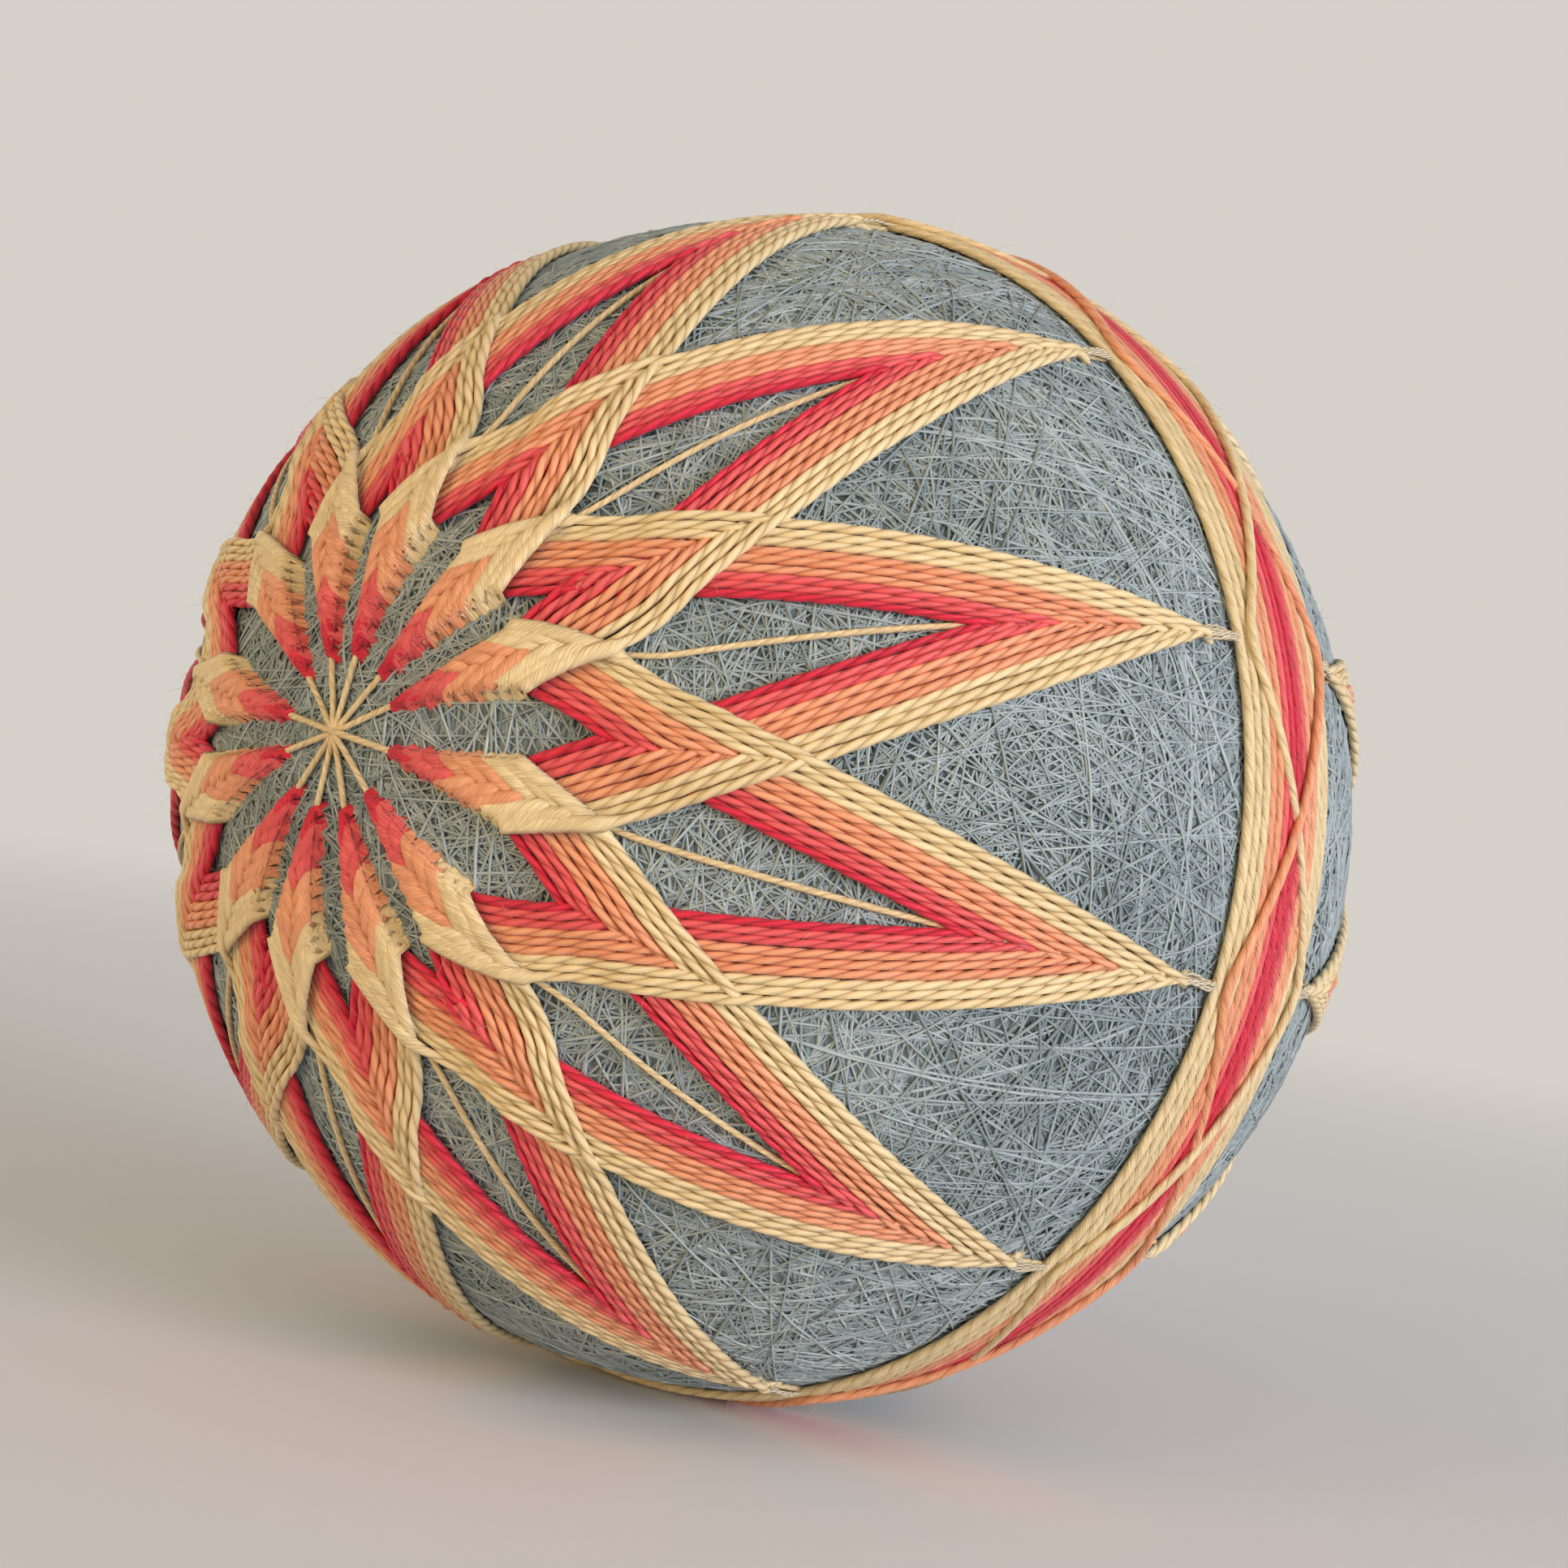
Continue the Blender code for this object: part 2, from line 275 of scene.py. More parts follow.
def threadMaterial(name, look):
    # two plies: height |cos(2 pi u)| to a power, with fine fibres along them; the colour is darker in the grooves
    # between the plies as painted shade
    material = bpy.data.materials.new(name)
    material.use_nodes = True
    tree = material.node_tree
    shader = tree.nodes["Principled BSDF"]
    uv = tree.nodes.new("ShaderNodeUVMap")
    uv.uv_map = "thread"
    parts = tree.nodes.new("ShaderNodeSeparateXYZ")
    tree.links.new(uv.outputs[0], parts.inputs[0])
    around, alongIt = parts.outputs[0], parts.outputs[1]
    tone = attribute(tree, "tone")
    wave = mathNode(tree, "ABSOLUTE", mathNode(tree, "COSINE", times(tree, around, math.tau)))
    depth = attribute(tree, "ply")
    ply = minus(tree, 1.0, mathNode(tree, "POWER", wave, look["plyPower"]))
    ply = minus(tree, 1.0, times(tree, ply, depth))
    shifted = plus(tree, alongIt, times(tree, tone, look["toneStep"]))
    strands = noiseNode(tree, combine(tree, times(tree, around, look["strandsAround"]), shifted, 0.0), 1.0)
    strands = stretched(tree, strands, *look["strandContrast"])
    fibre = plus(tree, times(tree, minus(tree, 1.0, depth), look["looseFibre"]), look["fibre"])
    patches = noiseNode(tree, combine(tree, times(tree, shifted, look["patchScale"]), tone, 0.0), 1.0)
    bump = tree.nodes.new("ShaderNodeBump")
    bump.inputs["Strength"].default_value = 1.0
    bump.inputs["Distance"].default_value = look["plyDepth"]
    tree.links.new(plus(tree, ply, times(tree, strands, fibre)), bump.inputs["Height"])
    tree.links.new(bump.outputs[0], shader.inputs["Normal"])
    # painted shade: the colour darkens towards the groove colour where the ply height is low, between the plies;
    # tone and patches add the thread's own random tone
    light = plus(tree, times(tree, ply, look["plyShadeShare"]), times(tree, strands, look["strandShare"]))
    light = plus(tree, light, times(tree, minus(tree, tone, 0.5), look["toneShare"]))
    light = plus(tree, light, times(tree, minus(tree, patches, 0.5), look["patchShare"]))
    colour = mixColours(tree, clamped(tree, light), linear(*look["grooveShadeAndDarkTone"]), linear(*look["colour"]))
    tree.links.new(colour, shader.inputs["Base Color"])
    shader.inputs["Roughness"].default_value = look["roughness"]
    shader.inputs["Specular IOR Level"].default_value = look["gloss"]
    shader.inputs["Sheen Weight"].default_value = look["sheen"]
    shader.inputs["Sheen Roughness"].default_value = 0.5
    return material


def plainThread(name, colour):
    # one fibre: a single soft colour varied by its tone
    material = bpy.data.materials.new(name)
    material.use_nodes = True
    tree = material.node_tree
    shader = tree.nodes["Principled BSDF"]
    dark = linear(*(0.75 * value for value in colour))
    tree.links.new(mixColours(tree, attribute(tree, "tone"), dark, linear(*colour)), shader.inputs["Base Color"])
    shader.inputs["Roughness"].default_value = 0.7
    return material


cotton = {"roughness": 0.48, "gloss": 0.42, "sheen": 0.1, "plyDepth": 0.15 * mm, "plyPower": 0.7,
          "fibre": 0.12, "looseFibre": 0.4, "strandsAround": 26.0, "toneStep": 97.0, "patchScale": 0.3,
          "strandContrast": (0.3, 0.7),
          "plyShadeShare": 0.62, "strandShare": 0.26, "toneShare": 0.22, "patchShare": 0.5}
# each colour with its dark mix colour: painted shade for the ply grooves, which the darker random tone also reaches
colours = {
    "red": threadMaterial("threadRed", {**cotton, "colour": (228, 36, 66), "grooveShadeAndDarkTone": (170, 12, 36)}),
    "coral": threadMaterial("threadCoral", {**cotton, "colour": (236, 100, 98), "grooveShadeAndDarkTone": (198, 58, 66)}),
    "orange": threadMaterial("threadOrange", {**cotton, "colour": (242, 172, 128), "grooveShadeAndDarkTone": (206, 122, 82)}),
    "cream": threadMaterial("threadCream", {**cotton, "colour": (240, 218, 170), "grooveShadeAndDarkTone": (200, 172, 118)}),
}


# the winding: a slightly lumpy ball and the fine sewing thread wound over it in every direction

winding = {
    "lumpRadius": 43.95 * mm,
    "lump": 0.09 * mm,
    "lumpWaves": (5, 4),         # from pole to pole and round
    "rings": 60,
    "segments": 120,
    "underLoops": 560,
    "overLoops": 560,
    "loopSteps": 44,
    "half": 0.11 * mm,
    "underRadius": (43.97, 44.1),
    "overRadius": (44.08, 44.2),
    "offCentre": 0.16,
    "ripple": 0.05 * mm,
    "rippleWaves": (3, 8),
    "vary": (0.8, 1.2),
    "lead": 1.2 * mm,
    "lineScale": (4200, 260, 260),
    "lineTurns": ((0.3, 0.2, 0.9), (1.1, 0.7, 0.1), (0.6, 1.3, 2.0), (2.2, 0.4, 1.2)),
    "lineContrast": (0.5, 0.8),
    "fineScale": 900.0,
    "broadScale": 60.0,
    "toneShare": 0.6,
    "lineShare": 0.8,
    "fineShare": 0.35,
    "broadShare": 0.4,
    "lineDepth": 0.2 * mm,
    "fineDepth": 0.08 * mm,
}


def windingBody():
    # radius plus a few low waves: lump * product of sines of the two angles of the grid
    rings, segments = winding["rings"], winding["segments"]
    polar = np.linspace(0, 180, rings + 1)[1:-1]
    turn = np.arange(segments) * 360 / segments
    polar, turn = np.meshgrid(polar, turn, indexing="ij")
    down, across = winding["lumpWaves"]
    waves = np.sin(np.radians(down * polar)) * np.sin(np.radians(across * turn + polar))
    radius = winding["lumpRadius"] + winding["lump"] * waves
    points = sphereDirection(polar, turn) * radius[..., None]
    points = np.concatenate([points.reshape(-1, 3), [[0, -winding["lumpRadius"], 0], [0, winding["lumpRadius"], 0]]])
    grid = np.arange((rings - 1) * segments).reshape(rings - 1, segments)
    after = np.roll(grid, -1, axis=1)
    quads = np.stack([grid[:-1], grid[1:], after[1:], after[:-1]], -1).reshape(-1, 4)
    south, north = len(points) - 2, len(points) - 1
    first = np.stack([np.full(segments, south), grid[0], after[0]], -1)
    last = np.stack([np.full(segments, north), after[-1], grid[-1]], -1)
    mesh = bpy.data.meshes.new("windingBody")
    mesh.from_pydata((points + centre).tolist(), [], quads.tolist() + first.tolist() + last.tolist())
    mesh.update()
    mesh.shade_smooth()
    piece = bpy.data.objects.new("windingBody", mesh)
    bpy.context.scene.collection.objects.link(piece)
    return piece


def windingLoops(count, radii, seed):
    # near great circles: centre offset along the loop's own axis, radius rising and falling along it
    pick = np.random.default_rng(seed)
    axis = unit(pick.normal(size=(count, 3)))
    side = unit(np.cross(axis, unit(pick.normal(size=(count, 3)))))
    other = np.cross(axis, side)
    steps = np.arange(winding["loopSteps"]) * 2 * math.pi / winding["loopSteps"]
    off = pick.uniform(-winding["offCentre"], winding["offCentre"], count)[:, None, None]
    path = side[:, None] * np.cos(steps)[:, None] + other[:, None] * np.sin(steps)[:, None]
    path = unit(path * np.sqrt(1 - off**2) + axis[:, None] * off)
    level = pick.uniform(*radii, count)[:, None] * mm
    waves = steps * pick.integers(*winding["rippleWaves"], count)[:, None] + pick.uniform(0, 6.28, count)[:, None]
    ripple = winding["ripple"] * np.sin(waves)
    half = winding["half"] * pick.uniform(*winding["vary"], count)[:, None]
    path = path * (level + ripple)[..., None]
    tone = pick.uniform(0, 1, count)
    return tubes(path, half, half, 3, winding["lead"], np.zeros(count), 0.0, tone, closed=True)


def woundLines(tree, place):
    # streaks that cross in several directions: the highest of four noises, each stretched along its own axis
    highest = None
    for turn in winding["lineTurns"]:
        mapping = tree.nodes.new("ShaderNodeMapping")
        mapping.inputs["Rotation"].default_value = turn
        mapping.inputs["Scale"].default_value = winding["lineScale"]
        tree.links.new(place, mapping.inputs["Vector"])
        streak = noiseNode(tree, mapping.outputs[0], 1.0)
        highest = streak if highest is None else mathNode(tree, "MAXIMUM", highest, streak)
    return stretched(tree, highest, *winding["lineContrast"])


def windingMaterial(name, dark, light, roughness, gloss, lines=False):
    # grey blue varied by each thread's tone and by fine noise in object space, or by the crossing streaks
    material = bpy.data.materials.new(name)
    material.use_nodes = True
    tree = material.node_tree
    shader = tree.nodes["Principled BSDF"]
    place = tree.nodes.new("ShaderNodeTexCoord").outputs["Object"]
    fine = woundLines(tree, place) if lines else noiseNode(tree, place, winding["fineScale"], 1.0)
    broad = noiseNode(tree, place, winding["broadScale"])
    fineShare = winding["lineShare"] if lines else winding["fineShare"]
    share = plus(tree, times(tree, attribute(tree, "tone"), winding["toneShare"]), times(tree, fine, fineShare))
    share = plus(tree, share, times(tree, minus(tree, broad, 0.5), winding["broadShare"]))
    tree.links.new(mixColours(tree, clamped(tree, share), dark, light), shader.inputs["Base Color"])
    bump = tree.nodes.new("ShaderNodeBump")
    bump.inputs["Distance"].default_value = winding["lineDepth"] if lines else winding["fineDepth"]
    tree.links.new(fine, bump.inputs["Height"])
    tree.links.new(bump.outputs[0], shader.inputs["Normal"])
    shader.inputs["Roughness"].default_value = roughness
    shader.inputs["Specular IOR Level"].default_value = gloss
    shader.inputs["Sheen Weight"].default_value = 0.1
    return material


total = 0
wound = []
stitched = []
body = windingBody()
# painted shade: the ball under the wound thread is coloured darker than the thread itself, standing for the shade in
# the gaps between the threads
shadedDeepThread = windingMaterial("windingDeepShade", linear(74, 88, 90), linear(150, 163, 163), 0.7, 0.3, lines=True)
body.data.materials.append(shadedDeepThread)
total += dress(body, "core_ball")
fineThread = windingMaterial("windingThread", linear(104, 120, 122), linear(188, 199, 198), 0.42, 0.5)
for name, count, radii, seed in (("windingUnder", winding["underLoops"], winding["underRadius"], 3),
                                 ("windingOver", winding["overLoops"], winding["overRadius"], 4)):
    parts = [windingLoops(count, radii, seed)]
    wound.append(parts[0]["points"])
    total += dress(pieceFromTubes(name, parts, fineThread), "core_ball")


# how the hand-made pattern differs from an even one: petals that lean, and a front pole a little off the ball's

uneven = {
    "lean": np.array((5.0, 1.8, 4.5, 1.0, -1.5, 2.0, -1.0, 1.5, -2.0, -1.5, -5.0, 1.2)),    # degrees, per petal
    "leanFrom": 31.0,
    "leanTo": 19.0,
    "poleShift": (-0.0177, 0.0, 0.0043),
    "shiftFrom": 32.0,
    "shiftTo": 10.0,
}


def faded(polar, outer, inner):
    # smoothstep: 0 outside the outer angle from the pole and 1 inside the inner one
    share = np.clip((outer - polar) / (outer - inner), 0, 1)
    return share * share * (3 - 2 * share)


def leanAt(polar, line):
    # the petal's own angle * faded, so its arms come back to the even spacing further out
    return uneven["lean"][line] * faded(polar, uneven["leanFrom"], uneven["leanTo"])


def leaning(directions, line):
    # each direction turned about the pole axis by leanAt
    polar, turn = polarAndTurn(directions)
    return sphereDirection(polar, turn + leanAt(polar, line))


def poleMoved(points):
    # unit(direction + poleShift * faded) * distance from the ball's centre
    reach = np.linalg.norm(points, axis=-1, keepdims=True)
    polar, turn = polarAndTurn(points / reach)
    share = faded(polar, uneven["shiftFrom"], uneven["shiftTo"])[..., None]
    return unit(points / reach + np.array(uneven["poleShift"]) * share) * reach


# the dividing threads: six full circles through both poles

division = {
    "radius": 44.36 * mm,
    "half": 0.22 * mm,
    "steps": 300,
    "stack": 0.07 * mm,
    "stackReach": 0.035,
    "lead": 1.9 * mm,
    "lobe": 0.06,
    "ply": 0.6,
}


def divisionPaths():
    # circles through the poles at firstLine + 30 degrees each, lifted by stack*number*exp(-(sin(angle)/reach)^2)
    count = ball["lines"] // 2
    angle = np.arange(division["steps"]) * 360 / division["steps"]
    line = np.arange(count)[:, None] + np.where(angle > 180, count, 0)
    fromPole = np.degrees(np.arcsin(np.abs(np.sin(np.radians(angle)))))
    turn = ball["firstLine"] + lineStep * np.arange(count)[:, None] + leanAt(fromPole, line)
    path = sphereDirection(angle[None], turn)
    nearPole = np.exp(-(np.sin(np.radians(angle)) / division["stackReach"]) ** 2)[None]
    lift = division["stack"] * np.arange(count)[:, None] * nearPole
    return path * (division["radius"] + lift)[..., None]


paths = poleMoved(divisionPaths())
paleThread = threadMaterial("threadPale", {**cotton, "colour": (248, 226, 176), "grooveShadeAndDarkTone": (212, 176, 122)})
parts = [tubes(paths, division["half"], division["half"], 6, division["lead"], rng.uniform(0, 1, len(paths)),
               division["lobe"], rng.uniform(0, 1, len(paths)), closed=True, ply=division["ply"])]
total += dress(pieceFromTubes("dividingThreads", parts, paleThread), "division_threads")


# the two flowers: nine rows of stitches in every petal and arm

flower = {
    "rows": 9,
    "tipPolar": (54.6, 79.6),       # outer points of the first and last row, degrees from the pole
    "seamPolar": (8.4, 26.8),       # where their stitches cross in the petal's middle
    "bow": 0.005,
    "edgeRow": (0, 1, 3, 6, 9),
    "edgePolar": (6.2, 7.9, 11.5, 15.7, 18.9),
    "edgeHalf": (0.15, 0.5, 1.05, 1.75, 2.25),
    "outlinePolar": (5.5, 6.6, 8.4, 11.8, 14.0, 17.4, 19.0, 20.2),
    "outlineHalf": (0.0, 0.42, 0.78, 1.18, 1.55, 2.15, 2.45, 6.0),
    "outlineRound": 0.75 * mm,
    "outlinePower": 2.5,
    "petalStep": 0.33 * mm,
    "armStep": 0.6 * mm,
    "lead": 3.6 * mm,
    "lobe": 0.09,
    "petalPly": 0.3,
    "half": 0.35 * mm,
    "petalHalf": 0.56 * mm,
    "petalHigh": 0.26 * mm,
    "armHalf": (0.27 * mm, 0.36 * mm),
    "armShare": 0.52,
    "blend": 1.5 * mm,
    "drift": 0.09 * mm,
    "driftPasses": 40,
    "wobble": 0.05 * mm,
    "wobblePasses": 30,
    "hiddenHalf": 0.3 * mm,
    "hiddenPull": 2.4,
    "single": 44.62 * mm,
    "crossOver": 45.18 * mm,
    "sunk": 43.75 * mm,
    "under": 44.5 * mm,
    "layer": 0.3 * mm,
    "pile": 0.4 * mm,
    "shingle": 0.02 * mm,
    "pileRow": 5,
    "before": 3.2 * mm,
    "past": 1.5 * mm,
    "rowColours": ("red", "coral", "coral", "orange", "orange", "orange", "cream", "cream", "cream"),
}


def petalPoint(row, share):
    # on the great circle from the seam (share 0) to the stitch hole at the petal's edge (share 1)
    polar = np.interp(row, flower["edgeRow"], flower["edgePolar"])
    half = np.interp(row, flower["edgeRow"], flower["edgeHalf"]) * mm
    turn = np.degrees(np.arcsin(half / (ball["radius"] * np.sin(np.radians(polar)))))
    seam = sphereDirection(np.interp(row, (0, flower["rows"]), flower["seamPolar"]), 0)
    return slide(seam, sphereDirection(polar, turn), share)


def armPoint(row, share):
    # great circle from the petal's last stitch to the outer point, bowed outward by bow*sin(pi*share)
    start = petalPoint(flower["rows"], 1 - row / flower["rows"])
    end = sphereDirection(np.interp(row, (0, flower["rows"]), flower["tipPolar"]), lineStep)
    bow = flower["bow"] * np.sin(np.pi * np.asarray(share, float))
    return unit(slide(start, end, share) + bow[..., None] * unit(np.cross(end, start)))


def crossingShare(row, other):
    # share of the arm where it meets the neighbour's mirrored arm
    share = np.linspace(0, 1, 401)
    polar, turn = polarAndTurn(armPoint(row, share))
    otherPolar, otherTurn = polarAndTurn(armPoint(other, share))
    gap = polar - np.interp(lineStep - turn, otherTurn, otherPolar)
    return float(np.interp(0, gap, share))


def threadRoute(row):
    # hole on the far side, seam, foot under the last stitch, arm, and a little past the outer point
    rows = flower["rows"]
    reach = ball["radius"]
    hole = petalPoint(row, 1.0) * np.array([1, 1, -1])
    seam = petalPoint(row, 0.0)
    foot = petalPoint(rows, 1 - row / rows)
    stitchLength = reach * math.acos(float(hole @ seam))
    shares = np.linspace(0, 1, 201)
    arm = armPoint(row, shares)
    armRun = np.concatenate([[0], np.cumsum(np.linalg.norm(np.diff(arm, axis=0), axis=1))]) * reach
    past = 1 + flower["past"] / armRun[-1]
    before = flower["before"] / stitchLength
    share = np.linspace(0, 1, 40)
    seamPolar, seamTurn = polarAndTurn(seam)
    footPolar, footTurn = polarAndTurn(foot)
    hidden = sphereDirection(seamPolar + (footPolar - seamPolar) * share, footTurn * share ** flower["hiddenPull"])
    fine = np.concatenate([
        slide(hole, seam, np.linspace(-before, 1, 60))[:-1],
        hidden[:-1],
        armPoint(row, np.linspace(0, past, 240)),
    ])
    run = np.concatenate([[0], np.cumsum(np.linalg.norm(np.diff(fine, axis=0), axis=1))]) * reach
    seamAt = run[59]
    footAt = run[98]
    along = np.concatenate([
        np.linspace(0, footAt, int(footAt / flower["petalStep"]))[:-1],
        np.linspace(footAt, run[-1], int((run[-1] - footAt) / flower["armStep"])),
    ])
    route = np.stack([np.interp(along, run, fine[:, axis]) for axis in range(3)], -1)
    return {
        "along": along,
        "route": unit(smoothed(route, 3)),
        "hole": flower["before"],
        "seam": seamAt,
        "foot": footAt,
        "arm": lambda share: footAt + np.interp(share, shares, armRun),
        "tip": footAt + armRun[-1],
        "armShares": shares,
    }


def threadSpacing(row, shares):
    # gap between the two row edges of this row, square to the thread
    inner, outer = armPoint(row - 0.5, shares), armPoint(row + 0.5, shares)
    ahead = unit(np.gradient(armPoint(row, shares), axis=0))
    across = outer - inner
    across = across - np.sum(across * ahead, -1, keepdims=True) * ahead
    return np.linalg.norm(across, axis=-1) * ball["radius"]


def threadLevels(index, info, forward, later):
    # height of the thread's middle above the ball's centre, from a few places along it
    row = index - 0.5
    pile = flower["pile"] * min(1, row / flower["pileRow"])
    top = flower["single"] + flower["layer"] + pile + flower["shingle"] * index
    edge = top - 0.1 * mm
    atSeam = top if forward else top - flower["layer"]
    hidden = flower["under"] + 0.3 * pile
    change = crossingShare(row, index if later else index - 1)
    rise = info["arm"](crossingShare(row, 0))
    fall = info["arm"](change)
    last = index == flower["rows"]
    atTip = flower["single"] + (0 if forward else flower["layer"])
    places = [
        (0, flower["sunk"]),
        (0.2 * info["hole"], edge - 0.1 * mm),
        (info["hole"], edge),
        (0.4 * info["hole"] + 0.6 * info["seam"], 0.5 * (edge + top)),
        (info["seam"] - 0.2 * mm, atSeam),
        (info["seam"] + 0.3 * mm, atSeam - 0.05 * mm),
        (info["seam"] + (2.2 if last else 1.0) * mm, flower["single"] if last else hidden),
        (info["foot"] + (2.4 if last else 0.3) * mm, flower["single"]),
        (rise - 0.5 * mm, flower["single"]),
        (rise + 0.3 * mm, flower["crossOver"]),
        (fall - 0.4 * mm, flower["crossOver"]),
        (fall + 0.5 * mm, flower["single"]),
        (info["tip"] - 1.4 * mm, flower["single"]),
        (info["tip"] - 0.3 * mm, atTip),
        (info["tip"] + 0.4 * mm, atTip - 0.1 * mm),
        (info["tip"] + flower["past"], flower["sunk"]),
    ]
    where = np.maximum.accumulate([place for place, level in places])
    return smoothed(np.interp(info["along"], where, [level for place, level in places]), 2)


def trimmed(points, line, front):
    # height above the sunk level times 1 - (1 - t)^power, where t is the way in from the petal's outline
    reach = np.linalg.norm(points, axis=-1)
    polar, turn = polarAndTurn(points / reach[..., None] * np.array([1, 1 if front else -1, 1]))
    turn = (turn - ball["firstLine"] - lineStep * line - leanAt(polar, line) + 180) % 360 - 180
    aside = np.abs(np.radians(turn)) * np.sin(np.radians(polar)) * ball["radius"]
    inside = np.interp(polar, flower["outlinePolar"], flower["outlineHalf"]) * mm - aside
    t = np.clip(inside / flower["outlineRound"], 0, 1)
    sunk = flower["sunk"]
    height = sunk + (reach - sunk) * (1 - (1 - t) ** flower["outlinePower"])
    return points / reach[..., None] * np.where(reach > sunk, height, reach)[..., None]


def wander(count, steps, passes):
    # smoothed random steps, one row for each thread
    return np.stack([smoothed(rng.normal(0, 1, steps), passes) for i in range(count)])


def flowerThreads(index, front):
    # all 24 threads of one row: forward and backward arms of the 12 petals
    row = index - 0.5
    info = threadRoute(row)
    along = info["along"]
    spacing = flower["armShare"] * threadSpacing(row, info["armShares"])
    armHalf = np.clip(np.interp(along, info["arm"](info["armShares"]), spacing), *flower["armHalf"])
    armHigh = np.clip(flower["half"] ** 2 / armHalf, 0, flower["armHalf"][1])
    blend = np.clip((along - info["foot"]) / flower["blend"], 0, 1)
    under = np.clip((along - info["seam"] - 0.5 * mm) / mm, 0, 1)
    petalHalf = flower["petalHalf"] + (flower["hiddenHalf"] - flower["petalHalf"]) * under
    half = petalHalf * (1 - blend) + armHalf * blend
    high = flower["petalHigh"] * (1 - blend) + armHigh * blend
    ply = flower["petalPly"] + (1 - flower["petalPly"]) * blend
    parts = []
    for forward in (True, False):
        route = info["route"] * np.array([1, 1, 1 if forward else -1])
        for later in (True, False):
            level = threadLevels(index, info, forward, later)
            lines = np.arange(0 if later else 1, ball["lines"], 2)
            paths = np.stack([turned(leaning(route, line), ball["firstLine"] + lineStep * line) for line in lines])
            paths = paths * np.array([1, 1 if front else -1, 1])
            count = len(lines)
            drift = wander(count, len(along), flower["driftPasses"]) * flower["drift"]
            ahead = unit(np.gradient(paths, axis=1))
            paths = unit(paths + np.cross(ahead, paths) * (drift / ball["radius"])[..., None])
            level = level + wander(count, len(along), flower["wobblePasses"]) * flower["wobble"]
            part = tubes(paths * level[..., None], half, high, 6, flower["lead"], rng.uniform(0, 1, count),
                         flower["lobe"], rng.uniform(0, 1, count), ply=ply)
            rings = part["points"].reshape(count, len(along), 6, 3)
            near = along < info["foot"]
            rings[:, near] = trimmed(rings[:, near], lines[:, None, None], front)
            parts.append(part)
    return parts


pads = {
    "reach": {"red": (6.9, 8.9), "coral": (8.6, 12.1), "orange": (11.8, 16.3), "cream": (16.0, 19.5)},
    "polar": (6.0, 12.0, 16.0),
    "level": (44.5 * mm, 44.78 * mm, 44.95 * mm),      # at those angles
    "inset": 0.22 * mm,
    "half": (0.05 * mm, 2.0 * mm),
    "high": 0.24 * mm,
    "steps": 14,
}


def petalPads(colour, front):
    # flat thread laid along each petal under its stitches: half width = the outline's half width - inset
    polar = np.linspace(*pads["reach"][colour], pads["steps"])
    half = np.interp(polar, flower["outlinePolar"], flower["outlineHalf"]) * mm - pads["inset"]
    half = np.clip(half, *pads["half"])
    level = np.interp(polar, pads["polar"], pads["level"])[:, None]
    middle = sphereDirection(polar, 0)
    many = ball["lines"]
    paths = [turned(leaning(middle, line), ball["firstLine"] + lineStep * line) for line in range(many)]
    paths = np.stack(paths) * level * np.array([1, 1 if front else -1, 1])
    return tubes(paths, half, pads["high"], 6, flower["lead"], np.zeros(many), 0.0, np.full(many, 0.5), ply=0.0)


for front, node, slot in ((True, "flower_front", "front_thread"), (False, "flower_back", "back_thread")):
    for colour in ("red", "coral", "orange", "cream"):
        parts = []
        for index, rowColour in enumerate(flower["rowColours"], 1):
            if rowColour == colour:
                parts += flowerThreads(index, front)
        parts.append(petalPads(colour, front))
        for part in parts:
            part["points"] = poleMoved(part["points"])
        stitched += [part["points"] for part in parts]
        name = ("front" if front else "back") + colour.capitalize()
        total += dress(pieceFromTubes(name, parts, colours[colour]), node)


# the belt: parallel turns round the middle and two threads that cross over them

belt = {
    "turns": ("cream", "cream", "cream", "orange", "orange", "coral", "red",
              "red", "coral", "orange", "orange", "cream", "cream", "cream"),
    "halfAngle": 6.9,
    "wander": 0.1,
    "lobe": 0.045,
    "ply": 0.6,
    "radius": 44.62 * mm,
    "crown": 0.15 * mm,
    "half": 0.41 * mm,
    "high": 0.34 * mm,
    "steps": 400,
    "zigzagReach": 6.6,
    "zigzagRadius": 45.2 * mm,
    "zigzagOver": 0.16 * mm,
    "zigzagHalf": 0.33 * mm,
}


def pressedRadius(directions, radius, high):
    # where a turn would pass below the floor it is pressed up to its own half height above it
    down = np.maximum(-directions[..., 2], 0.2)
    return np.minimum(radius, (ball["centre"][2] - high) / down)


def beltTurns(colour):
    # circles at an even spacing from edge to edge, a little higher in the middle
    spots = np.linspace(-belt["halfAngle"], belt["halfAngle"], len(belt["turns"]))
    spots = spots[[name == colour for name in belt["turns"]]]
    turn = np.arange(belt["steps"]) * 360 / belt["steps"]
    waves = [np.sin(np.radians(turn * rng.integers(2, 7) + rng.uniform(0, 360))) for spot in spots]
    directions = sphereDirection(90 + spots[:, None] + belt["wander"] * np.stack(waves), turn[None])
    radius = belt["radius"] + belt["crown"] * (1 - (spots[:, None] / belt["halfAngle"]) ** 2) + 0 * turn
    radius = pressedRadius(directions, radius, belt["high"])
    return tubes(directions * radius[..., None], belt["half"], belt["high"], 6, flower["lead"],
                 rng.uniform(0, 1, len(spots)), belt["lobe"], rng.uniform(0, 1, len(spots)), closed=True,
                 ply=belt["ply"])


